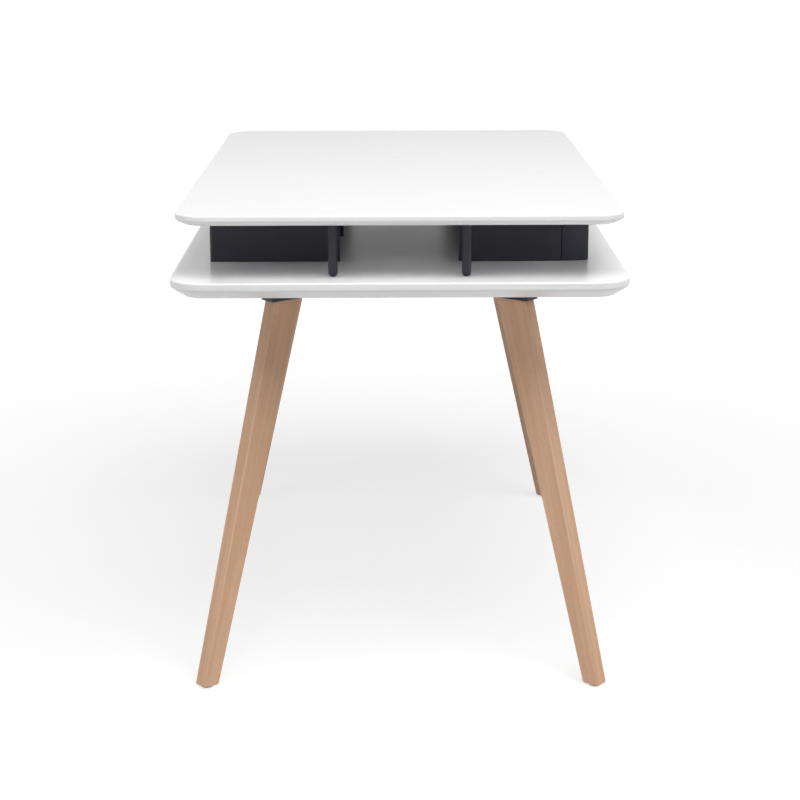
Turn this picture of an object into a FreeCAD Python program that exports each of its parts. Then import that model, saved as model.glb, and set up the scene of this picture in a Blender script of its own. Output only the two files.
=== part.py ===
import FreeCAD, Part
import math
import os
import re

import Sketcher

# Desk on splayed beech legs: a white top stands above a slightly larger white shelf, and between the
# two boards lie a black unit with two drawers (user's side, -Y) and a black open unit (far side, +Y).
# X runs along the desk, Y across it, Z up. The origin is on the floor under the middle of the desk.

SIZES = {
    # boards
    "desk_height": 750,
    "top_length": 1150,
    "top_width": 665,
    "top_thickness": 16,
    "top_nose": 10.2,
    "top_bevel_run": 12,
    "top_corner": 46,
    "shelf_margin_long": 10,
    "shelf_margin_wide": 10.5,
    "shelf_thickness": 26,
    "shelf_nose": 12.5,
    "shelf_bevel_run": 22.5,
    "shelf_corner": 54,
    "board_edge": 1,
    "bay_height": 82,
    # black units between the boards
    "unit_inset": 177,
    "unit_setback": 38.6,
    "channel_width": 185,
    "panel_thickness": 16,
    "panel_round": 6,
    "divider_share": 0.36,
    "divider_setback": 6,
    "tongue_thickness": 8,
    "tongue_depth": 4,
    "tongue_shoulder": 12,
    # drawers
    "front_thickness": 16,
    "front_return": 41.5,
    "front_splay_run": 26,
    "front_splay_drop": 6,
    "front_bend": 40,
    "front_round": 3,
    "front_reveal": 1,
    "drawer_gap": 1,
    "drawer_rear_gap": 11.5,
    "drawer_height": 58,
    "drawer_lift": 4,
    "drawer_wall": 12,
    "base_thickness": 5,
    "base_lift": 6,
    "base_tongue": 5,
    "grip_width": 110,
    "grip_depth": 18,
    "grip_round": 12,
    "side_clearance": 2,
    "runner_width": 8,
    "runner_height": 10,
    "runner_front_setback": 6.5,
    "runner_rear_setback": 4,
    "runner_rise": 26,
    "running_clearance": 0.3,
    # posts that carry the ends of the top
    "post_diameter": 14,
    "post_inset": 57,
    "post_spacing": 199,
    "post_seat": 6,
    "post_tip": 7,
    "post_taper_rise": 4.2,
    # legs and their mounts
    "foot_inset_long": 63,
    "foot_inset_wide": 39,
    "foot_width": 28,
    "leg_top_width": 54,
    "leg_thickness": 26,
    "leg_reach": 165,
    "leg_turn": 40,
    "leg_round": 3,
    "mount_height": 28,
    "mount_wall": 2.5,
    "mount_toe": 5.5,
    "mount_heel": 1.5,
    "mount_flare": 5,
    "mount_corner": 2,
    "socket_depth": 8,
    "plate_length": 118,
    "plate_width": 46,
    "plate_thickness": 4,
    "plate_corner": 9,
    "glide_diameter": 18,
    "glide_height": 3,
    # fasteners
    "fit_clearance": 0.2,
    "stud_diameter": 8,
    "stud_rise": 15,
    "stud_bite": 40,
    "mount_screw_diameter": 4.5,
    "mount_screw_head": 9,
    "mount_screw_head_height": 2.5,
    "mount_screw_bite": 14,
    "mount_screw_edge": 11,
}

doc = FreeCAD.newDocument("Desk")
sheet = doc.addObject("Spreadsheet::Sheet", "Sizes")
for row, (alias, value) in enumerate(SIZES.items(), start=1):
    sheet.set(f"A{row}", alias)
    sheet.set(f"B{row}", str(value))
    sheet.setAlias(f"B{row}", alias)
doc.recompute()

# Levels and places that several pieces share, as formulas of the sheet's names.
TOP_UNDER = "(desk_height - top_thickness)"
SHELF_FACE = f"({TOP_UNDER} - bay_height)"
SHELF_UNDER = f"({SHELF_FACE} - shelf_thickness)"
PLATE_UNDER = f"({SHELF_UNDER} - plate_thickness)"
LEG_RIM = f"({SHELF_UNDER} - mount_height)"
LEG_TOP = f"({LEG_RIM} + socket_depth)"
LEG_SLOPE = f"(leg_reach / ({LEG_TOP} - glide_height))"
SHELF_LENGTH = "(top_length + 2 * shelf_margin_long)"
SHELF_WIDTH = "(top_width + 2 * shelf_margin_wide)"
FOOT_X = f"({SHELF_LENGTH} / 2 - foot_inset_long)"
FOOT_Y = f"({SHELF_WIDTH} / 2 - foot_inset_wide)"
CHANNEL_SIDE = "(channel_width / 2)"
UNIT_OUTER = "(top_width / 2 - unit_setback)"
UNIT_LENGTH = "(top_length - 2 * unit_inset)"
END_PANEL_X = f"(({UNIT_LENGTH} - panel_thickness) / 2)"
FRONT_BACK = f"({UNIT_OUTER} - front_thickness)"
PANEL_FRONT = f"({UNIT_OUTER} - front_return - drawer_gap)"
DRAWER_FLOOR = f"({SHELF_FACE} + drawer_lift)"
SIGN_NAMES = {-1: "left", 1: "right"}
SIDE_NAMES = {-1: "front", 1: "rear"}

nodes = []


def formula(text):
    """Give the sheet's names in a formula the prefix that the document reads them by."""
    return re.sub(r"[a-z][a-z_]+", lambda m: f"Sizes.{m[0]}" if m[0] in SIZES else m[0], text)


def bind(item, name, text):
    item.setExpression(name, formula(text))


def place(item, x="0", y="0", z="0", turn=None):
    """Tie an item's place, and its turn about the upright axis, to formulas."""
    if turn is not None:
        item.Placement = FreeCAD.Placement(FreeCAD.Vector(), FreeCAD.Rotation(FreeCAD.Vector(0, 0, 1), 1))
        bind(item, "Placement.Rotation.Angle", turn)
    for axis, text in zip("xyz", (x, y, z)):
        bind(item, f"Placement.Base.{axis}", text)


def keep(item, label):
    """Name an item as one of the desk's finished pieces."""
    item.Label = label
    nodes.append(item)
    return item


def origin_feature(body, role):
    return next(feature for feature in body.Origin.OriginFeatures if feature.Role == role)


def outline(body, plane, corners, lift="0"):
    """Draw a closed outline of straight sides whose every corner is tied to two formulas."""
    sketch = body.newObject("Sketcher::SketchObject", f"{body.Name}_outline")
    sketch.AttachmentSupport = [(origin_feature(body, plane), "")]
    sketch.MapMode = "FlatFace"
    bind(sketch, "AttachmentOffset.Base.z", lift)
    count = len(corners)
    turns = [2 * math.pi * index / count for index in range(count)]
    start = [FreeCAD.Vector(math.cos(turn), math.sin(turn), 0) for turn in turns]
    for index in range(count):
        sketch.addGeometry(Part.LineSegment(start[index], start[(index + 1) % count]))
    for index in range(count):
        sketch.addConstraint(Sketcher.Constraint("Coincident", index, 2, (index + 1) % count, 1))
    for index, corner in enumerate(corners):
        for axis, value, text in zip("XY", start[index], corner):
            rule = Sketcher.Constraint(f"Distance{axis}", -1, 1, index, 1, value)
            bind(sketch, f"Constraints[{sketch.addConstraint(rule)}]", text)
    return sketch


def rectangle(x_low, x_high, y_low, y_high):
    return [(x_low, y_low), (x_high, y_low), (x_high, y_high), (x_low, y_high)]


def new_body(name):
    return doc.addObject("PartDesign::Body", name)


def pad(body, sketch, length, side_type="One side"):
    feature = body.newObject("PartDesign::Pad", f"{body.Name}_pad")
    feature.Profile = sketch
    feature.SideType = side_type
    bind(feature, "Length", length)
    doc.recompute()
    return feature


def treat_edges(body, kind, chosen):
    """Start an edge feature on the edges of the body's last feature that the chosen test picks."""
    base = body.Tip
    names = [f"Edge{index}" for index, edge in enumerate(base.Shape.Edges, start=1) if chosen(edge)]
    feature = body.newObject(f"PartDesign::{kind}", f"{body.Name}_{kind.lower()}")
    feature.Base = (base, names)
    return feature


def soften(body, chosen, radius):
    bind(treat_edges(body, "Fillet", chosen), "Radius", radius)
    doc.recompute()


def chamfer(body, chosen, drop, run=None):
    """Plane off edges evenly, or by one distance down the side and another along the underside."""
    feature = treat_edges(body, "Chamfer", chosen)
    bind(feature, "Size", drop)
    if run is not None:
        feature.ChamferType = "Two distances"
        bind(feature, "Size2", run)
    doc.recompute()


def upright(edge):
    """True for a straight edge that rises, whether plumb or leaning."""
    box = edge.BoundBox
    return box.ZLength > max(box.XLength, box.YLength)


def turned(name, corners):
    """Turn a half outline about the upright axis."""
    body = new_body(name)
    sketch = outline(body, "XZ_Plane", corners)
    feature = body.newObject("PartDesign::Revolution", f"{name}_turn")
    feature.Profile = sketch
    feature.ReferenceAxis = (origin_feature(body, "Z_Axis"), [""])
    doc.recompute()
    return body


def box(name, x_low, x_high, y_low, y_high, z_low, z_high):
    """A plain board between six formulas."""
    item = doc.addObject("Part::Box", name)
    bind(item, "Length", f"{x_high} - ({x_low})")
    bind(item, "Width", f"{y_high} - ({y_low})")
    bind(item, "Height", f"{z_high} - ({z_low})")
    place(item, x_low, y_low, z_low)
    return item


def group(name, items):
    item = doc.addObject("Part::Compound", name)
    item.Links = items
    return item


def cut(name, base, tools):
    item = doc.addObject("Part::Cut", name)
    item.Base = base
    item.Tool = tools[0] if len(tools) == 1 else group(f"{name}_cutters", tools)
    return item


def copies(name, master, places):
    """Group like pieces: the master is shown once at each place."""
    links = []
    for index, spot in enumerate(places):
        link = doc.addObject("App::Link", f"{name}_{index}")
        link.LinkedObject = master
        place(link, *spot)
        links.append(link)
    return group(name, links)


def signed(sign, text):
    return text if sign > 0 else f"-({text})"


# Four corners of the desk: where each foot stands and which way its leg leans.
def corner_place(x_sign, y_sign):
    turns = {
        (1, 1): "90 - leg_turn",
        (-1, 1): "90 + leg_turn",
        (-1, -1): "270 - leg_turn",
        (1, -1): "leg_turn - 90",
    }
    return signed(x_sign, FOOT_X), signed(y_sign, FOOT_Y), "0", turns[x_sign, y_sign]


CORNERS = [(x_sign, y_sign) for y_sign in (-1, 1) for x_sign in (-1, 1)]
CORNER_PLACES = [corner_place(*corner) for corner in CORNERS]


# Leg studs: bars that stand in the top ends of the legs and are screwed up into the mounts.
def leg_stud(name, grow):
    half = f"stud_diameter / 2 + {grow}"
    corners = rectangle("0", half, f"-stud_bite - {grow}", f"stud_rise + {grow}")
    return copies(f"{name}_seat", turned(name, corners), [("-leg_reach", "0", LEG_TOP)])


keep(copies("leg_studs", leg_stud("leg_stud", "0"), CORNER_PLACES), "leg_studs")
leg_stud_bores = copies("leg_stud_bores", leg_stud("leg_stud_bore", "fit_clearance"), CORNER_PLACES)


# Mount screws: a pan head under each end of a plate, with a shank that goes up into the shelf.
def mount_screw(name, grow):
    reach = f"plate_thickness + mount_screw_bite + {grow}"
    head = f"mount_screw_head / 2 + {grow}"
    shank = f"mount_screw_diameter / 2 + {grow}"
    corners = [("0", "-mount_screw_head_height"), (head, "-mount_screw_head_height"), (head, "0"),
               (shank, "0"), (shank, reach), ("0", reach)]
    along = "(plate_length / 2 - mount_screw_edge)"
    spots = [(f"-leg_reach + {signed(end, along)}", "0", PLATE_UNDER) for end in (-1, 1)]
    return copies(f"{name}_set", turned(name, corners), spots)


keep(copies("mount_screws", mount_screw("mount_screw", "0"), CORNER_PLACES), "mount_screws")
mount_screw_bore = mount_screw("mount_screw_bore", "fit_clearance")
mount_screw_bores = copies("mount_screw_bores", mount_screw_bore, CORNER_PLACES)


# Foot glides: nylon discs stuck under the legs, which the desk stands on.
foot_glide = turned("foot_glide", rectangle("0", "glide_diameter / 2", "0", "glide_height"))
keep(copies("foot_glides", foot_glide, CORNER_PLACES), "foot_glides")


# Legs: planks that taper towards the floor and lean out in their own upright plane.
def leg_blank(name, grow):
    half_foot = f"(foot_width / 2 + {grow})"
    half_top = f"(leg_top_width / 2 + {grow})"
    body = new_body(name)
    sketch = outline(body, "XZ_Plane", [
        (f"-{half_foot}", "glide_height"), (half_foot, "glide_height"),
        (f"-leg_reach + {half_top}", LEG_TOP), (f"-leg_reach - {half_top}", LEG_TOP)])
    pad(body, sketch, f"leg_thickness + 2 * ({grow})", "Symmetric")
    return body


# Leg mounts: a screwed plate with clipped corners and a flared block, thick at the toe and thin at the
# heel, with a socket that the leg's top end fills.
def mount_blank(name):
    body = new_body(name)
    rim_middle = f"(-leg_reach + {LEG_SLOPE} * socket_depth)"
    heel = "(leg_top_width / 2 + mount_heel)"
    toe = "(leg_top_width / 2 + mount_toe)"
    block = outline(body, "XZ_Plane", [
        (f"{rim_middle} - {heel}", LEG_RIM), (f"{rim_middle} + {toe}", LEG_RIM),
        (f"-leg_reach + {toe} + mount_flare", PLATE_UNDER),
        (f"-leg_reach - {heel} - mount_flare", PLATE_UNDER)])
    pad(body, block, "leg_thickness + 2 * mount_wall", "Symmetric")
    chamfer(body, upright, "mount_corner")
    plate_outline = rectangle("-leg_reach - plate_length / 2", "-leg_reach + plate_length / 2",
                              "-plate_width / 2", "plate_width / 2")
    plate = outline(body, "XY_Plane", plate_outline, PLATE_UNDER)
    plate_pad = pad(body, plate, "plate_thickness")
    under = plate_pad.Shape.BoundBox.ZMax - SIZES["plate_thickness"]
    chamfer(body, lambda edge: upright(edge) and edge.BoundBox.ZMin > under - 0.001, "plate_corner")
    return body


for (x_sign, y_sign), spot in zip(CORNERS, CORNER_PLACES):
    corner = f"{SIDE_NAMES[y_sign]}_{SIGN_NAMES[x_sign]}"
    leg = leg_blank(f"leg_blank_{corner}", "0")
    soften(leg, upright, "leg_round")
    place(leg, *spot)
    keep(cut(f"leg_{corner}", leg, [leg_stud_bores]), f"leg_{corner}")
    mount = mount_blank(f"mount_blank_{corner}")
    place(mount, *spot)
    socket = leg_blank(f"socket_{corner}", "fit_clearance")
    place(socket, *spot)
    mount_cutters = [socket, leg_stud_bores, mount_screw_bores]
    keep(cut(f"leg_mount_{corner}", mount, mount_cutters), f"leg_mount_{corner}")


# Upright panels between the boards: middle plane, inner edge and outer edge of each.
def panel_list():
    inner = CHANNEL_SIDE
    divider_middle = f"({UNIT_LENGTH} * divider_share / 2)"
    divider_outer = f"({UNIT_OUTER} - divider_setback)"
    centre_outer = f"({FRONT_BACK} - drawer_gap)"
    panels = {"centre_panel": ("0", f"-{inner}", f"-{centre_outer}")}
    for sign, name in SIGN_NAMES.items():
        panels[f"front_end_panel_{name}"] = (signed(sign, END_PANEL_X), f"-{inner}", f"-{PANEL_FRONT}")
        panels[f"rear_end_panel_{name}"] = (signed(sign, END_PANEL_X), inner, UNIT_OUTER)
        panels[f"divider_{name}"] = (signed(sign, divider_middle), inner, divider_outer)
    return panels


PANELS = panel_list()


def tongue(middle, inner, outer, grow):
    """Plan of the tongue that a panel has along its upper and lower edge."""
    half = f"(tongue_thickness / 2 + {grow})"
    outward = -1 if inner.startswith("-") else 1
    shoulder = signed(outward, f"(tongue_shoulder - {grow})")
    return rectangle(f"{middle} - {half}", f"{middle} + {half}",
                     f"{inner} + {shoulder}", f"{outer} - {shoulder}")


grooves = []
for name, (middle, inner, outer) in PANELS.items():
    panel = new_body(name)
    half = "panel_thickness / 2"
    plan = rectangle(f"{middle} - {half}", f"{middle} + {half}", inner, outer)
    pad(panel, outline(panel, "XY_Plane", plan), "bay_height")
    if name.startswith("rear_end"):
        outside = max(abs(vertex.X) for vertex in panel.Shape.Vertexes)
        far = panel.Shape.BoundBox.YMax
        soften(panel, lambda edge: upright(edge) and edge.BoundBox.YMax > far - 0.001
               and abs(edge.BoundBox.Center.x) > outside - 0.001, "panel_round")
    for lift in ("-tongue_depth", "bay_height"):
        pad(panel, outline(panel, "XY_Plane", tongue(middle, inner, outer, "0"), lift), "tongue_depth")
    place(panel, z=SHELF_FACE)
    keep(panel, name)
    groove = new_body(f"{name}_groove")
    groove_plan = tongue(middle, inner, outer, "fit_clearance")
    pad(groove, outline(groove, "XY_Plane", groove_plan, "-tongue_depth"), "bay_height + 2 * tongue_depth")
    place(groove, z=SHELF_FACE)
    grooves.append(groove)

# Posts: round bars let into the top, whose tapered feet stand on the shelf.
POST_X = f"({SHELF_LENGTH} / 2 - post_inset)"
post_places = [(signed(x_sign, POST_X), signed(y_sign, "post_spacing / 2")) for x_sign, y_sign in CORNERS]
post_bores = []
for (x_sign, y_sign), (x, y) in zip(CORNERS, post_places):
    name = f"post_{SIDE_NAMES[y_sign]}_{SIGN_NAMES[x_sign]}"
    post_top = "bay_height + post_seat"
    post = turned(name, [
        ("0", "0"), ("post_tip / 2", "0"), ("post_diameter / 2", "post_taper_rise"),
        ("post_diameter / 2", post_top), ("0", post_top)])
    place(post, x, y, SHELF_FACE)
    keep(post, name)
    bore = doc.addObject("Part::Cylinder", f"{name}_bore")
    bind(bore, "Radius", "post_diameter / 2 + fit_clearance")
    bind(bore, "Height", "post_seat + fit_clearance")
    place(bore, x, y, TOP_UNDER)
    post_bores.append(bore)


# Boards: rounded corners, an eased upper edge, a plumb nose and a long bevel underneath.
def board(name, kind, length, width, level):
    body = new_body(f"{name}_blank")
    half_length = f"{length} / 2"
    half_width = f"{width} / 2"
    plan = rectangle(f"-{half_length}", half_length, f"-{half_width}", half_width)
    pad(body, outline(body, "XY_Plane", plan), f"{kind}_thickness")
    soften(body, upright, f"{kind}_corner")
    bevel_drop = f"{kind}_thickness - {kind}_nose"
    chamfer(body, lambda edge: edge.BoundBox.ZMax < 0.001, bevel_drop, f"{kind}_bevel_run")
    upper = body.Shape.BoundBox.ZMax
    chamfer(body, lambda edge: edge.BoundBox.ZMin > upper - 0.001, "board_edge")
    place(body, z=level)
    return body


top_blank = board("desk_top", "top", "top_length", "top_width", TOP_UNDER)
shelf_blank = board("lower_shelf", "shelf", SHELF_LENGTH, SHELF_WIDTH, SHELF_UNDER)
keep(cut("desk_top", top_blank, grooves + post_bores), "desk_top")
keep(cut("lower_shelf", shelf_blank, grooves + [mount_screw_bores]), "lower_shelf")

# Drawers: each runs on two strips, one on an end panel and one on the centre panel.
NEAR_FACE = "(panel_thickness / 2)"
FAR_FACE = f"({UNIT_LENGTH} / 2 - panel_thickness)"
NEAR_SIDE = f"({NEAR_FACE} + side_clearance)"
FAR_SIDE = f"({FAR_FACE} - side_clearance)"
DRAWER_REAR = f"(-{CHANNEL_SIDE} - drawer_rear_gap)"
BASE_UNDER = f"({DRAWER_FLOOR} + base_lift)"
BASE_FACE = f"({BASE_UNDER} + base_thickness)"
DRAWER_RIM = f"({DRAWER_FLOOR} + drawer_height)"
RUNNER_REAR = f"(-{CHANNEL_SIDE} - runner_rear_setback)"
RUNNER_FRONT = f"(-{PANEL_FRONT} + runner_front_setback)"
RUNNER_UNDER = f"({DRAWER_FLOOR} + runner_rise)"


def side_box(name, sign, near, far, y_low, y_high, z_low, z_high):
    """A board on one half of the desk, given by its distances from the desk's middle."""
    if sign > 0:
        return box(name, near, far, y_low, y_high, z_low, z_high)
    return box(name, f"-({far})", f"-({near})", y_low, y_high, z_low, z_high)


def drawer_front(name, sign):
    """A front that turns the unit's outer corner in a splayed end, with a scooped grip in its upper edge."""
    body = new_body(name)
    end = signed(sign, f"{UNIT_LENGTH} / 2")
    inside = signed(sign, f"{UNIT_LENGTH} / 2 - front_thickness")
    middle = signed(sign, "drawer_gap")
    return_edge = f"-{UNIT_OUTER} + front_return"
    plan = outline(body, "XY_Plane", [
        (end, f"-{UNIT_OUTER}"), (middle, f"-{UNIT_OUTER}"), (middle, f"-{FRONT_BACK}"),
        (inside, f"-{FRONT_BACK}"), (inside, return_edge), (end, return_edge)])
    slab = pad(body, plan, "bay_height - 2 * front_reveal")
    outside = max(abs(vertex.X) for vertex in slab.Shape.Vertexes)
    near = slab.Shape.BoundBox.YMin

    def outer_upright(edge, y):
        return (upright(edge) and abs(edge.BoundBox.Center.y - y) < 0.001
                and abs(edge.BoundBox.Center.x) > outside - 2 * SIZES["front_splay_drop"])

    chamfer(body, lambda edge: outer_upright(edge, near), "front_splay_drop", "front_splay_run")
    bend = near + SIZES["front_splay_run"]
    soften(body, lambda edge: outer_upright(edge, bend), "front_bend")
    soften(body, lambda edge: outer_upright(edge, near), "front_round")
    grip_middle = signed(sign, f"({UNIT_LENGTH} / 4 + drawer_gap / 2)")
    front_rim = "bay_height - 2 * front_reveal"
    grip_outline = rectangle(f"{grip_middle} - grip_width / 2", f"{grip_middle} + grip_width / 2",
                             f"{front_rim} - grip_depth", front_rim)
    scoop = outline(body, "XZ_Plane", grip_outline)
    notch = body.newObject("PartDesign::Pocket", f"{name}_grip")
    notch.Profile = scoop
    notch.SideType = "Symmetric"
    bind(notch, "Length", f"2 * {UNIT_OUTER} + 2 * front_thickness")
    doc.recompute()
    rim = notch.Shape.BoundBox.ZMax
    soften(body, lambda edge: edge.BoundBox.ZLength < 0.001 and edge.BoundBox.XLength < 0.001
           and 0.001 < edge.BoundBox.ZMax < rim - 0.001, "grip_round")
    place(body, z=f"{SHELF_FACE} + front_reveal")
    return body


for sign, hand in SIGN_NAMES.items():
    rear_wall = f"{DRAWER_REAR} - drawer_wall"
    near_inside = f"({NEAR_SIDE} + drawer_wall)"
    far_inside = f"({FAR_SIDE} - drawer_wall)"
    base_near = f"({near_inside} - base_tongue)"
    base_far = f"({far_inside} + base_tongue)"
    base_edge = f"(-{FRONT_BACK} - base_tongue)"
    base = side_box(f"drawer_base_{hand}", sign, base_near, base_far, base_edge, DRAWER_REAR,
                    BASE_UNDER, BASE_FACE)
    groove = side_box(f"base_groove_{hand}", sign, f"{base_near} - fit_clearance",
                      f"{base_far} + fit_clearance", f"{base_edge} - fit_clearance",
                      f"{DRAWER_REAR} + fit_clearance", BASE_UNDER, BASE_FACE)
    back = side_box(f"drawer_back_{hand}", sign, near_inside, far_inside, rear_wall, DRAWER_REAR,
                    BASE_FACE, DRAWER_RIM)
    keep(base, f"drawer_base_{hand}")
    keep(back, f"drawer_back_{hand}")
    front = drawer_front(f"drawer_front_{hand}_blank", sign)
    keep(cut(f"drawer_front_{hand}", front, [groove]), f"drawer_front_{hand}")
    walls = {
        "inner": (NEAR_SIDE, near_inside, NEAR_FACE, f"({NEAR_FACE} + runner_width)"),
        "outer": (far_inside, FAR_SIDE, f"({FAR_FACE} - runner_width)", FAR_FACE),
    }
    for wall, (near, far, runner_near, runner_far) in walls.items():
        runner = side_box(f"runner_{hand}_{wall}", sign, runner_near, runner_far, RUNNER_FRONT, RUNNER_REAR,
                          RUNNER_UNDER, f"{RUNNER_UNDER} + runner_height")
        keep(runner, f"runner_{hand}_{wall}")
        track = side_box(f"track_{hand}_{wall}", sign, f"{runner_near} - running_clearance",
                         f"{runner_far} + running_clearance", f"{RUNNER_FRONT} - running_clearance",
                         f"{DRAWER_REAR} + running_clearance", f"{RUNNER_UNDER} - running_clearance",
                         f"{RUNNER_UNDER} + runner_height + running_clearance")
        side = side_box(f"drawer_side_{hand}_{wall}_blank", sign, near, far, f"-{FRONT_BACK}", DRAWER_REAR,
                        DRAWER_FLOOR, DRAWER_RIM)
        keep(cut(f"drawer_side_{hand}_{wall}", side, [groove, track]), f"drawer_side_{hand}_{wall}")

doc.recompute()
for item in doc.Objects:
    if "Invalid" in item.State or "Error" in item.State:
        raise RuntimeError(f"{item.Name} did not build: {item.State}")
for item in nodes:
    if item.Shape.isNull() or not item.Shape.isValid():
        raise RuntimeError(f"{item.Label} has no sound shape")

os.makedirs("parts", exist_ok=True)
for item in nodes:
    item.Shape.exportStep(f"parts/{item.Label}.step")
    print(f"{item.Label}: {len(item.Shape.Solids)} solid(s), {item.Shape.Volume / 1000:.1f} cm3")
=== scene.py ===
import math

import bmesh
import bpy
from mathutils import Matrix, Vector


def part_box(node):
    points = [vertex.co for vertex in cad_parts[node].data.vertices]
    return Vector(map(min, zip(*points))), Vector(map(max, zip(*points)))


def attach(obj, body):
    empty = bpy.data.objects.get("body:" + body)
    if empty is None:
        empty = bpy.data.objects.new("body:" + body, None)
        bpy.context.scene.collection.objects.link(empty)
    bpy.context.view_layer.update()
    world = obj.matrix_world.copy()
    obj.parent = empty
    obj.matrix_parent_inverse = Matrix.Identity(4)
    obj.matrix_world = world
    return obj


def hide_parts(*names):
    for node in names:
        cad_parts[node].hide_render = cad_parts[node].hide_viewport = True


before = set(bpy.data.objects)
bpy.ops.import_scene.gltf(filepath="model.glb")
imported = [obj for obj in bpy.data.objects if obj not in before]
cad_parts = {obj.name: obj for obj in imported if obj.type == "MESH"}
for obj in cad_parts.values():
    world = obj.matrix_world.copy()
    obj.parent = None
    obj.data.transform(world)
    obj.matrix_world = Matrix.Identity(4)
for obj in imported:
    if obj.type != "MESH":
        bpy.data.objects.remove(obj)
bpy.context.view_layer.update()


# Top and shelf: two boards of medium-density fibreboard, sprayed with white satin lacquer. The upper one
# is the desk top; the larger, thicker one below it is a shelf. Both have round corners, a nose that leans
# in a little and a bevel underneath. The black panels and the posts are let into them.
def add(tree, kind, sockets=None, **settings):
    """Add a node; each socket takes a plain value or another node's output."""
    made = tree.nodes.new(kind)
    for name, value in settings.items():
        setattr(made, name, value)
    for name, value in (sockets or {}).items():
        if isinstance(value, bpy.types.NodeSocket):
            tree.links.new(value, made.inputs[name])
        else:
            made.inputs[name].default_value = value
    return made


def shader_group(name, inputs, outputs):
    """Start a node group for an effect that several finishes share."""
    tree = bpy.data.node_groups.new(name, "ShaderNodeTree")
    for label, kind, value in inputs:
        socket = tree.interface.new_socket(label, in_out="INPUT", socket_type=kind)
        if value is not None:
            socket.default_value = value
    for label, kind in outputs:
        tree.interface.new_socket(label, in_out="OUTPUT", socket_type=kind)
    return tree, add(tree, "NodeGroupInput").outputs


def finish_group(tree, results):
    add(tree, "NodeGroupOutput", results)
    return tree


def new_material(name):
    made = bpy.data.materials.new(name)
    made.use_nodes = True
    made.node_tree.nodes.clear()
    return made, made.node_tree


def surface(tree, sockets):
    """End a material with one principled surface."""
    shader = add(tree, "ShaderNodeBsdfPrincipled", sockets)
    add(tree, "ShaderNodeOutputMaterial", {"Surface": shader.outputs["BSDF"]})


def object_place(tree):
    return add(tree, "ShaderNodeTexCoord").outputs["Object"]


tree, given = shader_group(
    "sprayed_skin",
    [("Place", "NodeSocketVector", None), ("Peel size", "NodeSocketFloat", 0.002),
     ("Peel depth", "NodeSocketFloat", 0.00001), ("Roughness", "NodeSocketFloat", 0.4)],
    [("Normal", "NodeSocketVector"), ("Roughness", "NodeSocketFloat"), ("Tone", "NodeSocketFloat")])
fineness = add(tree, "ShaderNodeMath", {0: 1.0, 1: given["Peel size"]}, operation="DIVIDE")
peel = add(tree, "ShaderNodeTexNoise", {"Vector": given["Place"], "Scale": fineness.outputs[0],
                                        "Detail": 2.0})
dips = add(tree, "ShaderNodeBump", {"Height": peel.outputs["Fac"], "Distance": given["Peel depth"]})
haze = add(tree, "ShaderNodeTexNoise", {"Vector": given["Place"], "Scale": 7.0, "Detail": 4.0,
                                        "Roughness": 0.6})
haze_swing = add(tree, "ShaderNodeMapRange", {"Value": haze.outputs["Fac"], "From Min": 0.3,
                                              "From Max": 0.7, "To Min": 0.93, "To Max": 1.08})
rough = add(tree, "ShaderNodeMath", {0: given["Roughness"], 1: haze_swing.outputs[0]}, operation="MULTIPLY")
cloud = add(tree, "ShaderNodeTexNoise", {"Vector": given["Place"], "Scale": 2.3, "Detail": 3.0})
tone = add(tree, "ShaderNodeMapRange", {"Value": cloud.outputs["Fac"], "From Min": 0.25, "From Max": 0.75,
                                        "To Min": 0.985, "To Max": 1.01})
sprayed_skin = finish_group(tree, {"Normal": dips.outputs[0], "Roughness": rough.outputs[0],
                                   "Tone": tone.outputs[0]})

white_lacquer, tree = new_material("white_lacquer")
skin = add(tree, "ShaderNodeGroup", {"Place": object_place(tree), "Peel size": 0.0022,
                                     "Peel depth": 0.000012, "Roughness": 0.25}, node_tree=sprayed_skin)
white = add(tree, "ShaderNodeMix", {6: (0.915, 0.915, 0.92, 1.0), 7: skin.outputs["Tone"], 0: 1.0},
            data_type="RGBA", blend_type="MULTIPLY")
surface(tree, {"Base Color": white.outputs[2], "Roughness": skin.outputs["Roughness"],
               "Normal": skin.outputs["Normal"], "IOR": 1.5})


def eased(corners, steps=5):
    """Round the corners of an open profile; each corner is (inset, height, radius)."""
    points = []
    for index, (inset, height, radius) in enumerate(corners):
        here = Vector((inset, height))
        if radius == 0:
            points.append(here)
            continue
        back = (Vector(corners[index - 1][:2]) - here).normalized()
        onward = (Vector(corners[index + 1][:2]) - here).normalized()
        half = back.angle(onward) / 2
        centre = here + (back + onward).normalized() * radius / math.sin(half)
        first = here + back * radius / math.tan(half) - centre
        last = here + onward * radius / math.tan(half) - centre
        turn = math.atan2(first.x * last.y - first.y * last.x, first.dot(last))
        for step in range(steps + 1):
            points.append(centre + Matrix.Rotation(turn * step / steps, 2) @ first)
    return points


def rounded_rectangle(half_x, half_y, radius, steps):
    """Corner points of a plan, anticlockwise."""
    points = []
    for quarter, (x_sign, y_sign) in enumerate(((1, 1), (-1, 1), (-1, -1), (1, -1))):
        for step in range(steps + 1):
            angle = math.pi / 2 * (quarter + step / steps)
            points.append((x_sign * (half_x - radius) + radius * math.cos(angle),
                           y_sign * (half_y - radius) + radius * math.sin(angle)))
    return points


def skin_rings(rings):
    """Join rings of equally many points, and close the first and the last."""
    count = len(rings[0])
    faces = [list(range(count))[::-1]]
    for level in range(len(rings) - 1):
        for index in range(count):
            beside = (index + 1) % count
            faces.append([level * count + index, level * count + beside,
                          (level + 1) * count + beside, (level + 1) * count + index])
    faces.append([(len(rings) - 1) * count + index for index in range(count)])
    return [point for ring in rings for point in ring], faces


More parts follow.
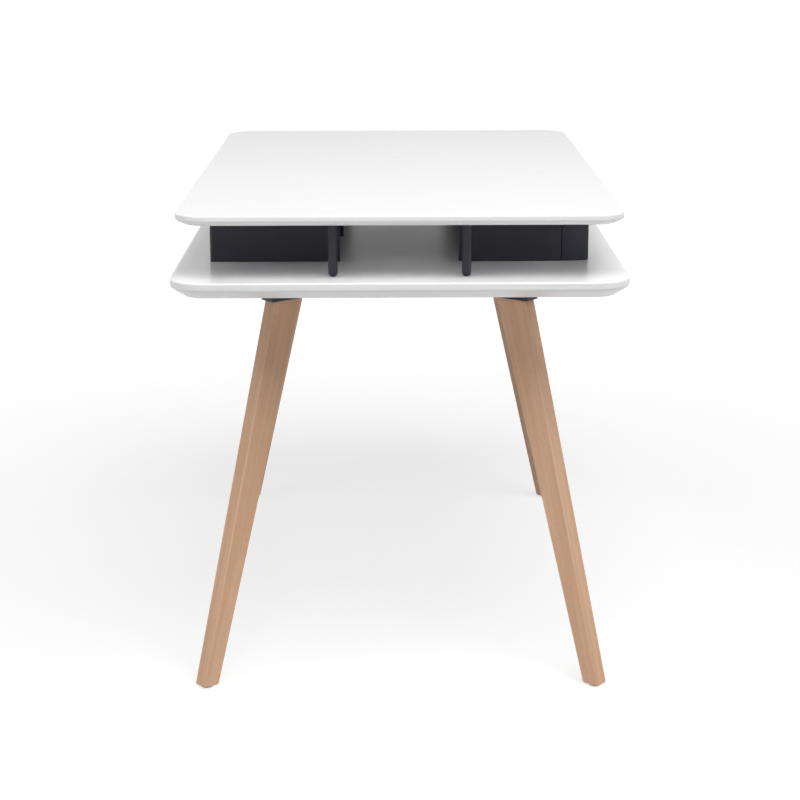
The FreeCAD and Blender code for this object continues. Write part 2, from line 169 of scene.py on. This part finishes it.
def even_normals(mesh, limit=40):
    """Shade round faces smooth and keep flat ones flat: large faces lead where gentle edges meet."""
    mesh.polygons.foreach_set("use_smooth", [True] * len(mesh.polygons))
    touching = [[] for _ in mesh.vertices]
    for face in mesh.polygons:
        for vertex in face.vertices:
            touching[vertex].append(face)
    least = math.cos(math.radians(limit))
    normals = [None] * len(mesh.loops)
    for face in mesh.polygons:
        for loop in face.loop_indices:
            near = touching[mesh.loops[loop].vertex_index]
            total = Vector()
            for other in near:
                if other.normal.dot(face.normal) > least:
                    total += other.normal * other.area
            normals[loop] = total.normalized()
    mesh.normals_split_custom_set(normals)


def piece(name, mesh, material, slot, body, *nodes):
    """Put a finished mesh on its body, in the place of the CAD nodes that it stands for."""
    made = bpy.data.objects.new(name, mesh)
    bpy.context.scene.collection.objects.link(made)
    mesh.materials.clear()
    mesh.materials.append(material)
    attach(made, body)
    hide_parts(*nodes)


def new_mesh(name, points, faces):
    mesh = bpy.data.meshes.new(name)
    mesh.from_pydata(points, [], faces)
    shape = bmesh.new()
    shape.from_mesh(mesh)
    bmesh.ops.recalc_face_normals(shape, faces=shape.faces)
    shape.to_mesh(mesh)
    shape.free()
    even_normals(mesh)
    return mesh


upper_round, nose_round, under_round = 0.0024, 0.006, 0.003
for node, corner, nose, lean, bevel_run in (("desk_top", 0.046, 0.0102, 0.0003, 0.012),
                                            ("lower_shelf", 0.054, 0.0125, 0.0010, 0.0225)):
    low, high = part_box(node)
    profile = eased([(0.012, high.z, 0), (0, high.z, upper_round), (lean, high.z - nose, nose_round),
                     (bevel_run, low.z, under_round), (bevel_run + 0.008, low.z, 0)])
    rings = []
    for inset, height in profile:
        plan = rounded_rectangle(high.x - inset, high.y - inset, corner - inset, 24)
        rings.append([(x, y, height) for x, y in plan])
    board = new_mesh(f"{node}_board", *skin_rings(rings))
    piece(f"{node}_board", board, white_lacquer, "white_lacquer", "desk", node)


# Upright panels: boards in black satin lacquer between the top and the shelf. Four end panels, two dividers
# and a centre panel make the drawer case and the open pigeonholes. Their tongues are glued into grooves in
# both white boards.
def eased_copy(node, ease):
    """Copy a CAD node with its corners joined, its flat faces whole and its sharp edges eased."""
    shape = bmesh.new()
    shape.from_mesh(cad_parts[node].data)
    bmesh.ops.remove_doubles(shape, verts=shape.verts, dist=0.00001)
    bmesh.ops.dissolve_limit(shape, angle_limit=math.radians(1), verts=shape.verts, edges=shape.edges)
    sharp = [edge for edge in shape.edges
             if edge.is_manifold and edge.calc_face_angle() > math.radians(35)]
    bmesh.ops.bevel(shape, geom=sharp, offset=ease, offset_type="OFFSET", segments=2, profile=0.5,
                    affect="EDGES", clamp_overlap=True)
    mesh = bpy.data.meshes.new(node)
    shape.to_mesh(mesh)
    shape.free()
    even_normals(mesh)
    return mesh


tree, given = shader_group(
    "handling_marks",
    [("Place", "NodeSocketVector", None), ("Amount", "NodeSocketFloat", 1.0)],
    [("Mask", "NodeSocketFloat")])
smear_place = add(tree, "ShaderNodeMapping", {"Vector": given["Place"], "Scale": (9.0, 9.0, 24.0)})
smear = add(tree, "ShaderNodeTexNoise", {"Vector": smear_place.outputs[0], "Scale": 1.0, "Detail": 5.0,
                                         "Roughness": 0.65, "Distortion": 0.6})
smear_mask = add(tree, "ShaderNodeMapRange", {"Value": smear.outputs["Fac"], "From Min": 0.5,
                                              "From Max": 0.75})
dust = add(tree, "ShaderNodeTexVoronoi", {"Vector": given["Place"], "Scale": 260.0}, feature="F1")
dust_mask = add(tree, "ShaderNodeMapRange", {"Value": dust.outputs["Distance"], "From Min": 0.1,
                                             "From Max": 0.04, "To Max": 0.5})
marks = add(tree, "ShaderNodeMath", {0: smear_mask.outputs[0], 1: dust_mask.outputs[0]},
            operation="MAXIMUM")
marks_out = add(tree, "ShaderNodeMath", {0: marks.outputs[0], 1: given["Amount"]}, operation="MULTIPLY",
                use_clamp=True)
handling_marks = finish_group(tree, {"Mask": marks_out.outputs[0]})


def dark_finish(name, plain, marked, roughness, peel_size, peel_depth, specular):
    """A dark sprayed finish with faint handling marks."""
    made, tree = new_material(name)
    place = object_place(tree)
    skin = add(tree, "ShaderNodeGroup", {"Place": place, "Peel size": peel_size, "Peel depth": peel_depth,
                                         "Roughness": roughness}, node_tree=sprayed_skin)
    wear = add(tree, "ShaderNodeGroup", {"Place": place}, node_tree=handling_marks)
    colour = add(tree, "ShaderNodeMix", {0: wear.outputs["Mask"], 6: plain, 7: marked}, data_type="RGBA")
    surface(tree, {"Base Color": colour.outputs[2], "Roughness": skin.outputs["Roughness"],
                   "Normal": skin.outputs["Normal"], "Specular IOR Level": specular})
    return made


black_lacquer = dark_finish("black_lacquer", (0.0270, 0.0277, 0.0420, 1.0), (0.0320, 0.0327, 0.0470, 1.0),
                            0.5, 0.0016, 0.00001, 0.35)
for node in ("centre_panel", "divider_left", "divider_right", "front_end_panel_left",
             "front_end_panel_right", "rear_end_panel_left", "rear_end_panel_right"):
    piece(f"{node}_board", eased_copy(node, 0.0005), black_lacquer, "black_lacquer", "desk", node)


# Drawer fronts: black boards that turn the outer corners of the drawer case, each with a scooped finger
# grip in its upper edge. The drawer boxes are glued to their backs.
for hand in ("left", "right"):
    node = f"drawer_front_{hand}"
    piece(f"{node}_board", eased_copy(node, 0.0005), black_lacquer, "black_lacquer", f"drawer_{hand}", node)


# Legs: solid beech planks under a clear matt lacquer, tapered towards the floor and leaning outwards. Their
# long edges are softened and carry a painted highlight, a paler colour that fades out towards the foot, and
# the rims of their feet are rounded. Each top end sits in a mount's socket and is held by a stud.
def set_grain(mesh, places):
    """Keep each point's place in the timber: across, through and along, in metres."""
    layer = mesh.attributes.new("grain", "FLOAT_VECTOR", "POINT")
    layer.data.foreach_set("vector", [value for place in places for value in place])


tree, given = shader_group(
    "wood_figure", [("Grain", "NodeSocketVector", None)],
    [("Rings", "NodeSocketFloat"), ("Fibres", "NodeSocketFloat"), ("Flecks", "NodeSocketFloat")])
ring_place = add(tree, "ShaderNodeMapping", {"Vector": given["Grain"], "Scale": (30.0, 30.0, 1.5)})
ring_field = add(tree, "ShaderNodeTexNoise", {"Vector": ring_place.outputs[0], "Scale": 1.0, "Detail": 2.0})
ring_turns = add(tree, "ShaderNodeMath", {0: ring_field.outputs["Fac"], 1: 24.0}, operation="MULTIPLY")
ring_wave = add(tree, "ShaderNodeMath", {0: ring_turns.outputs[0]}, operation="SINE")
ring_lines = add(tree, "ShaderNodeMapRange", {"Value": ring_wave.outputs[0], "From Min": -1.0})
fibre_place = add(tree, "ShaderNodeMapping", {"Vector": given["Grain"], "Scale": (900.0, 900.0, 22.0)})
fibre = add(tree, "ShaderNodeTexNoise", {"Vector": fibre_place.outputs[0], "Scale": 1.0, "Detail": 3.0})
fleck_place = add(tree, "ShaderNodeMapping", {"Vector": given["Grain"], "Scale": (1500.0, 1500.0, 230.0)})
fleck = add(tree, "ShaderNodeTexNoise", {"Vector": fleck_place.outputs[0], "Scale": 1.0, "Detail": 1.0})
fleck_mask = add(tree, "ShaderNodeMapRange", {"Value": fleck.outputs["Fac"], "From Min": 0.6,
                                              "From Max": 0.7})
wood_figure = finish_group(tree, {"Rings": ring_lines.outputs[0], "Fibres": fibre.outputs["Fac"],
                                  "Flecks": fleck_mask.outputs[0]})

beech, tree = new_material("beech")
grain = add(tree, "ShaderNodeAttribute", attribute_name="grain").outputs["Vector"]
figure = add(tree, "ShaderNodeGroup", {"Grain": grain}, node_tree=wood_figure)
ringed = add(tree, "ShaderNodeMix", {0: figure.outputs["Rings"], 6: (0.712, 0.448, 0.291, 1.0),
                                     7: (0.655, 0.395, 0.244, 1.0)}, data_type="RGBA")
fibre_tone = add(tree, "ShaderNodeMapRange", {"Value": figure.outputs["Fibres"], "From Min": 0.3,
                                              "From Max": 0.7, "To Min": 0.95, "To Max": 1.04})
streaked = add(tree, "ShaderNodeMix", {0: 1.0, 6: ringed.outputs[2], 7: fibre_tone.outputs[0]},
               data_type="RGBA", blend_type="MULTIPLY")
fleck_share = add(tree, "ShaderNodeMath", {0: figure.outputs["Flecks"], 1: 0.30}, operation="MULTIPLY")
flecked = add(tree, "ShaderNodeMix", {0: fleck_share.outputs[0], 6: streaked.outputs[2],
                                      7: (0.33, 0.185, 0.115, 1.0)}, data_type="RGBA")
# Painted highlight: along the softened long edges the colour is mixed towards a paler beech, standing in for
# the light those edges catch. The same edges are also a little glossier.
painted_arris_highlight = add(tree, "ShaderNodeAttribute", attribute_name="painted_arris_highlight").outputs["Fac"]
highlight_share = add(tree, "ShaderNodeMath", {0: painted_arris_highlight, 1: 0.45}, operation="MULTIPLY")
wear_and_highlight = add(tree, "ShaderNodeMix", {0: highlight_share.outputs[0], 6: flecked.outputs[2],
                                   7: (0.80, 0.55, 0.385, 1.0)}, data_type="RGBA")
polish = add(tree, "ShaderNodeMapRange", {"Value": painted_arris_highlight, "To Min": 0.46, "To Max": 0.34})
pores = add(tree, "ShaderNodeBump", {"Height": figure.outputs["Fibres"], "Distance": 0.00002})
surface(tree, {"Base Color": wear_and_highlight.outputs[2], "Roughness": polish.outputs[0], "Normal": pores.outputs[0],
               "Specular IOR Level": 0.35})

foot_x, foot_y = 0.522, 0.304
feet = {}
for corner, x_sign, y_sign, turn in (("front_left", -1, -1, 230), ("front_right", 1, -1, -50),
                                     ("rear_left", -1, 1, 130), ("rear_right", 1, 1, 50)):
    spot = Matrix.Translation((x_sign * foot_x, y_sign * foot_y, 0))
    feet[corner] = spot @ Matrix.Rotation(math.radians(turn), 4, "Z")

foot_half, top_half, leg_half, leg_reach = 0.014, 0.027, 0.013, 0.165
leg_foot, leg_top, foot_ease, rim_tuck = 0.003, 0.606, 0.0035, 0.7
arris_radius, arris_steps, highlight_full_from, lean_stretch = 0.003, 6, 0.35, 1.035
for order, (corner, foot) in enumerate(feet.items()):
    node = f"leg_{corner}"
    rings = []
    grains = []
    arris_highlight_weights = []
    levels = []
    for step in range(5):
        angle = math.pi / 2 * step / 4
        levels.append((leg_foot + foot_ease * (1 - math.cos(angle)), foot_ease * (1 - math.sin(angle))))
    levels += [(leg_foot + (leg_top - leg_foot) * step / 12, 0) for step in range(1, 13)]
    for height, shrink in levels:
        share = (height - leg_foot) / (leg_top - leg_foot)
        half = foot_half + (top_half - foot_half) * share - shrink
        plan = rounded_rectangle(half, leg_half - shrink, arris_radius - rim_tuck * shrink, arris_steps)
        rings.append([foot @ Vector((x - leg_reach * share, y, height)) for x, y in plan])
        # Each leg is cut from another place in the timber.
        along = height * lean_stretch + 0.9 * order
        grains += [(x + 0.31 * order, y + 0.17 * order, along) for x, y in plan]
        # Strength of the painted edge highlight: none at the foot, full from about a third of the way up,
        # and largest in the middle of each rounded edge.
        highlight_fade = min(1, share / highlight_full_from)
        arris_highlight_weights += [highlight_fade * math.sin(math.pi * step / arris_steps) for step in range(arris_steps + 1)] * 4
    mesh = new_mesh(f"{node}_plank", *skin_rings(rings))
    set_grain(mesh, grains)
    mesh.attributes.new("painted_arris_highlight", "FLOAT", "POINT").data.foreach_set("value", arris_highlight_weights)
    piece(f"{node}_plank", mesh, beech, "beech", "desk", node)


# Leg mounts: powder-coated black castings. Each is a plate screwed under the shelf, with a flared block
# below it and a socket in the block for the leg.
black_steel = dark_finish("black_steel", (0.0140, 0.0145, 0.0235, 1.0), (0.0200, 0.0205, 0.0295, 1.0),
                          0.48, 0.0011, 0.00002, 0.4)
for corner in feet:
    node = f"leg_mount_{corner}"
    piece(f"{node}_casting", eased_copy(node, 0.0009), black_steel, "black_steel", "desk", node)


# Posts: black-painted steel bars that carry the overhanging ends of the top. They are let into it from
# below, and their domed feet stand on the shelf.
def lathe(name, profile, centre, steps=48):
    """Turn a profile of (radius, height) about an upright line."""
    rings = []
    for radius, height in profile:
        ring = []
        for step in range(steps):
            angle = 2 * math.pi * step / steps
            ring.append((centre.x + radius * math.cos(angle), centre.y + radius * math.sin(angle), height))
        rings.append(ring)
    return new_mesh(name, *skin_rings(rings))


for corner in feet:
    node = f"post_{corner}"
    low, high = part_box(node)
    radius = (high.x - low.x) / 2
    dome = [math.pi / 2 * step / 9 for step in range(2, 10)]
    flat = math.cos(dome[0])
    profile = [(radius * math.sin(angle), low.z + radius * (flat - math.cos(angle))) for angle in dome]
    profile += [(radius, high.z - 0.0006), (radius - 0.0006, high.z)]
    bar = lathe(f"{node}_bar", profile, (low + high) / 2)
    piece(f"{node}_bar", bar, black_steel, "black_steel", "desk", node)


# Drawer boxes: sides, back and base of white-oiled birch plywood, glued together. Their edges show the
# plies. Each side has a track that slides on a runner.
drawer_ply, tree = new_material("drawer_ply")
grain = add(tree, "ShaderNodeAttribute", attribute_name="grain").outputs["Vector"]
figure = add(tree, "ShaderNodeGroup", {"Grain": grain}, node_tree=wood_figure)
through = add(tree, "ShaderNodeSeparateXYZ", {"Vector": grain}).outputs["Y"]
ply_phase = add(tree, "ShaderNodeMath", {0: through, 1: 2 * math.pi / 0.0028}, operation="MULTIPLY")
ply_wave = add(tree, "ShaderNodeMath", {0: ply_phase.outputs[0]}, operation="SINE")
ply_dark = add(tree, "ShaderNodeMapRange", {"Value": ply_wave.outputs[0], "From Min": -0.2, "From Max": 0.2,
                                            "To Max": 0.55})
face_tone = add(tree, "ShaderNodeMix", {0: figure.outputs["Rings"], 6: (0.80, 0.785, 0.755, 1.0),
                                        7: (0.75, 0.73, 0.69, 1.0)}, data_type="RGBA")
plied = add(tree, "ShaderNodeMix", {0: ply_dark.outputs[0], 6: face_tone.outputs[2],
                                    7: (0.60, 0.55, 0.48, 1.0)}, data_type="RGBA")
nap = add(tree, "ShaderNodeBump", {"Height": figure.outputs["Fibres"], "Distance": 0.00003})
surface(tree, {"Base Color": plied.outputs[2], "Roughness": 0.55, "Normal": nap.outputs[0]})


def plywood(node, body, through, along, offset):
    """An eased copy of a drawer board that keeps its own directions of grain and plies."""
    mesh = eased_copy(node, 0.0006)
    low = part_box(node)[0]
    across = 3 - through - along
    set_grain(mesh, [(vertex.co[across] + offset, vertex.co[through] - low[through] + 0.0007,
                      vertex.co[along] + offset) for vertex in mesh.vertices])
    piece(f"{node}_ply", mesh, drawer_ply, "drawer_ply", body, node)


for hand, offset in (("left", 0.0), ("right", 2.7)):
    body = f"drawer_{hand}"
    plywood(f"drawer_base_{hand}", body, 2, 0, offset)
    plywood(f"drawer_back_{hand}", body, 1, 0, offset + 0.6)
    plywood(f"drawer_side_{hand}_inner", body, 0, 1, offset + 1.1)
    plywood(f"drawer_side_{hand}_outer", body, 0, 1, offset + 1.7)


# Drawer runners: pale nylon strips, glued to the end panels and to both faces of the centre panel. The
# tracks in the drawer sides slide on them.
def nylon(name, colour, roughness):
    made, tree = new_material(name)
    place = object_place(tree)
    skin = add(tree, "ShaderNodeGroup", {"Place": place, "Peel size": 0.0008, "Roughness": roughness},
               node_tree=sprayed_skin)
    wear = add(tree, "ShaderNodeGroup", {"Place": place, "Amount": 0.3}, node_tree=handling_marks)
    wear_and_highlight = tuple(channel * 0.8 for channel in colour[:3]) + (1.0,)
    toned = add(tree, "ShaderNodeMix", {0: wear.outputs["Mask"], 6: colour, 7: wear_and_highlight}, data_type="RGBA")
    surface(tree, {"Base Color": toned.outputs[2], "Roughness": skin.outputs["Roughness"],
                   "Normal": skin.outputs["Normal"], "Subsurface Weight": 0.15,
                   "Subsurface Radius": (0.002, 0.002, 0.002)})
    return made


runner_nylon = nylon("runner_nylon", (0.62, 0.62, 0.58, 1.0), 0.35)
for hand in ("left", "right"):
    for wall in ("inner", "outer"):
        node = f"runner_{hand}_{wall}"
        piece(f"{node}_strip", eased_copy(node, 0.0006), runner_nylon, "runner_nylon", "desk", node)


# Mount screws: zinc-plated pan-head wood screws with a cross recess, one through each end of a mount's
# plate. No two are left with the recess turned the same way.
set_out = bpy.data.node_groups.new("set_out", "GeometryNodeTree")
for label, kind in (("Places", "NodeSocketGeometry"), ("Item", "NodeSocketObject"),
                    ("Finish", "NodeSocketMaterial"), ("Seed", "NodeSocketInt")):
    set_out.interface.new_socket(label, in_out="INPUT", socket_type=kind)
set_out.interface.new_socket("Items", in_out="OUTPUT", socket_type="NodeSocketGeometry")
given = add(set_out, "NodeGroupInput").outputs
item = add(set_out, "GeometryNodeObjectInfo", {"Object": given["Item"]})
turn = add(set_out, "FunctionNodeRandomValue", {2: 0.0, 3: 2 * math.pi, "Seed": given["Seed"]},
           data_type="FLOAT")
turn_about = add(set_out, "ShaderNodeCombineXYZ", {"Z": turn.outputs[1]})
spread = add(set_out, "GeometryNodeInstanceOnPoints",
             {"Points": given["Places"], "Instance": item.outputs["Geometry"],
              "Rotation": turn_about.outputs[0]})
solid = add(set_out, "GeometryNodeRealizeInstances", {"Geometry": spread.outputs[0]})
clad = add(set_out, "GeometryNodeSetMaterial", {"Geometry": solid.outputs[0], "Material": given["Finish"]})
add(set_out, "NodeGroupOutput", {"Items": clad.outputs[0]})


def spread_copies(name, item_mesh, material, seed, places):
    """Set a small part out at several places and give back one plain mesh of them all."""
    item = bpy.data.objects.new(f"{name}_item", item_mesh)
    spots = bpy.data.meshes.new(f"{name}_places")
    spots.from_pydata(places, [], [])
    holder = bpy.data.objects.new(f"{name}_holder", spots)
    bpy.context.scene.collection.objects.link(holder)
    modifier = holder.modifiers.new("set_out", "NODES")
    modifier.node_group = set_out
    entries = [entry for entry in set_out.interface.items_tree if entry.in_out == "INPUT"]
    sockets = {entry.name: entry.identifier for entry in entries}
    modifier[sockets["Item"]] = item
    modifier[sockets["Finish"]] = material
    modifier[sockets["Seed"]] = seed
    reading = bpy.context.evaluated_depsgraph_get()
    mesh = bpy.data.meshes.new_from_object(holder.evaluated_get(reading))
    bpy.data.objects.remove(holder)
    bpy.data.objects.remove(item)
    even_normals(mesh)
    return mesh


zinc_steel, tree = new_material("zinc_steel")
place = object_place(tree)
bloom = add(tree, "ShaderNodeTexNoise", {"Vector": place, "Scale": 420.0, "Detail": 3.0})
zinc_tone = add(tree, "ShaderNodeMix", {0: bloom.outputs["Fac"], 6: (0.60, 0.61, 0.62, 1.0),
                                        7: (0.72, 0.71, 0.66, 1.0)}, data_type="RGBA")
zinc_rough = add(tree, "ShaderNodeMapRange", {"Value": bloom.outputs["Fac"], "To Min": 0.26,
                                              "To Max": 0.44})
crystals = add(tree, "ShaderNodeTexVoronoi", {"Vector": place, "Scale": 2600.0})
etch = add(tree, "ShaderNodeBump", {"Height": crystals.outputs["Distance"], "Distance": 0.00001})
surface(tree, {"Base Color": zinc_tone.outputs[2], "Metallic": 1.0, "Roughness": zinc_rough.outputs[0],
               "Normal": etch.outputs[0]})

plate_under, head_half, head_height, shank_half, screw_tip = 0.622, 0.0045, 0.0025, 0.00225, 0.018
face_half, arm_reach, arm_half, recess_depth, recess_taper = 0.0026, 0.0022, 0.0005, 0.0013, 0.55
steps = 32
profile = [(0.0006, screw_tip), (shank_half, screw_tip - 0.003), (shank_half, 0), (head_half, 0),
           (head_half, -0.0008), (head_half - 0.0004, -0.0016), (head_half - 0.0011, -0.0022),
           (face_half, -head_height)]
shape = bmesh.new()
rings = []
for radius, height in profile:
    angles = [2 * math.pi * step / steps for step in range(steps)]
    rings.append([shape.verts.new((radius * math.cos(a), radius * math.sin(a), height)) for a in angles])
shape.faces.new(rings[0])
for upper, lower in zip(rings, rings[1:]):
    for step in range(steps):
        shape.faces.new((upper[step], upper[step - 1], lower[step - 1], lower[step]))
arm = ((arm_reach, arm_half), (arm_half, arm_half), (arm_half, arm_reach))
cross = []
for quarter in range(4):
    turned = Matrix.Rotation(quarter * math.pi / 2, 2)
    cross += [turned @ Vector(point) for point in arm]
mouth = [shape.verts.new((x, y, -head_height)) for x, y in cross]
bed = [shape.verts.new((x * recess_taper, y * recess_taper, recess_depth - head_height)) for x, y in cross]
rim = [shape.edges.get((rings[-1][step], rings[-1][step - 1])) for step in range(steps)]
lip = [shape.edges.new((mouth[index], mouth[index - 1])) for index in range(12)]
bmesh.ops.triangle_fill(shape, use_beauty=True, edges=rim + lip)
for index in range(12):
    shape.faces.new((mouth[index], mouth[index - 1], bed[index - 1], bed[index]))
shape.faces.new(bed)
bmesh.ops.recalc_face_normals(shape, faces=shape.faces)
screw = bpy.data.meshes.new("mount_screw")
shape.to_mesh(screw)
shape.free()
screw_places = []
for foot in feet.values():
    screw_places += [foot @ Vector((offset - leg_reach, 0, plate_under)) for offset in (-0.048, 0.048)]
screws = spread_copies("mount_screws", screw, zinc_steel, 7, screw_places)
piece("mount_screws_set", screws, zinc_steel, "zinc_steel", "desk", "mount_screws")


# Leg studs: zinc-plated steel bars in the top ends of the legs, screwed up into the mounts. Sockets and
# legs hide them.
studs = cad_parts["leg_studs"].data
studs.materials.clear()
studs.materials.append(zinc_steel)


# Foot glides: pale nylon discs stuck under the legs, which keep the end grain off the floor. Their lower
# rims are rounded where they slide.
glide_nylon = nylon("glide_nylon", (0.72, 0.71, 0.67, 1.0), 0.4)
glide_profile = [(0.0084, 0.0), (0.009, 0.0006), (0.009, 0.0026), (0.0087, 0.003)]
glide = lathe("foot_glide", glide_profile, Vector())
glide_places = [foot.translation for foot in feet.values()]
glides = spread_copies("foot_glides", glide, glide_nylon, 3, glide_places)
piece("foot_glides_set", glides, glide_nylon, "glide_nylon", "desk", "foot_glides")


# Floor, light and camera: a pale floor in a white studio, a large soft light over the near end, a weaker
# one at each side and a view of the desk's left end from a little above the top.
def seen_rays(tree):
    """One for rays that show the studio: from the camera, in a reflection or through something clear."""
    ray = add(tree, "ShaderNodeLightPath").outputs
    mirrored = add(tree, "ShaderNodeMath", {0: ray["Is Glossy Ray"], 1: ray["Is Transmission Ray"]},
                   operation="MAXIMUM")
    shows = add(tree, "ShaderNodeMath", {0: ray["Is Camera Ray"], 1: mirrored.outputs[0]},
                operation="MAXIMUM")
    return shows.outputs[0]


floor_paint, tree = new_material("floor")
paint = add(tree, "ShaderNodeBsdfDiffuse", {"Color": (0.76, 0.76, 0.76, 1.0)})
seen = add(tree, "ShaderNodeBsdfDiffuse", {"Color": (0.32, 0.32, 0.32, 1.0)})
away = add(tree, "ShaderNodeVectorMath", {0: object_place(tree)}, operation="LENGTH")
brighter = add(tree, "ShaderNodeMapRange", {"Value": away.outputs["Value"], "From Min": 0.8,
                                            "From Max": 3.0, "To Min": 0.74, "To Max": 1.0})
glow = add(tree, "ShaderNodeEmission", {"Color": (1.0, 1.0, 1.0, 1.0), "Strength": brighter.outputs[0]})
both = add(tree, "ShaderNodeAddShader", {0: seen.outputs[0], 1: glow.outputs[0]})
choice = add(tree, "ShaderNodeMixShader", {0: seen_rays(tree), 1: paint.outputs[0], 2: both.outputs[0]})
add(tree, "ShaderNodeOutputMaterial", {"Surface": choice.outputs[0]})
floor_mesh = bpy.data.meshes.new("floor")
floor_mesh.from_pydata([(-30, -30, 0), (30, -30, 0), (30, 30, 0), (-30, 30, 0)], [], [(0, 1, 2, 3)])
floor_mesh.materials.append(floor_paint)
floor = bpy.data.objects.new("floor", floor_mesh)
bpy.context.scene.collection.objects.link(floor)

world = bpy.data.worlds.new("studio")
bpy.context.scene.world = world
world.use_nodes = True
tree = world.node_tree
tree.nodes.clear()
sight = add(tree, "ShaderNodeTexCoord").outputs["Generated"]
direction = add(tree, "ShaderNodeSeparateXYZ", {"Vector": sight})
side = add(tree, "ShaderNodeMapRange", {"Value": direction.outputs["Y"], "From Min": 0.3, "To Max": 1.26})
low = add(tree, "ShaderNodeMapRange", {"Value": direction.outputs["Z"], "From Min": 0.5, "From Max": 0.05})
lit = add(tree, "ShaderNodeMath", {0: side.outputs[0], 1: low.outputs[0]}, operation="MULTIPLY")
shown = add(tree, "ShaderNodeMix", {0: seen_rays(tree), 2: lit.outputs[0], 3: 1.0})
sky = add(tree, "ShaderNodeBackground", {"Color": (1.0, 1.0, 1.0, 1.0), "Strength": shown.outputs[0]})
add(tree, "ShaderNodeOutputWorld", {"Surface": sky.outputs[0]})


def soft_light(name, place, aim, width, height, power):
    lamp = bpy.data.lights.new(name, "AREA")
    lamp.shape = "RECTANGLE"
    lamp.size = width
    lamp.size_y = height
    lamp.energy = power
    made = bpy.data.objects.new(name, lamp)
    made.location = place
    made.rotation_euler = (Vector(aim) - Vector(place)).to_track_quat("-Z", "Y").to_euler()
    bpy.context.scene.collection.objects.link(made)


soft_light("key_light", (-2.2, -0.65, 4.15), (-0.3, 0, 0.7), 2.6, 2.6, 152)
soft_light("right_fill", (-1.0, -3.3, 2.0), (-0.3, 0, 0.7), 2.0, 2.0, 30)
soft_light("left_fill", (-2.2, 2.4, 3.0), (-0.3, 0, 0.7), 2.0, 2.0, 32)

camera = bpy.data.objects.new("camera", bpy.data.cameras.new("camera"))
camera.data.lens = 91.4
camera.data.clip_end = 100
camera.matrix_world = (Matrix.Translation((-3.5132, 0.0126, 1.1899))
                       @ Matrix.Rotation(math.radians(-90.238), 4, "Z")
                       @ Matrix.Rotation(math.radians(76.3), 4, "X")
                       @ Matrix.Rotation(math.radians(-0.16), 4, "Z"))
bpy.context.scene.collection.objects.link(camera)
bpy.context.scene.camera = camera
bpy.context.scene.view_settings.view_transform = "Standard"
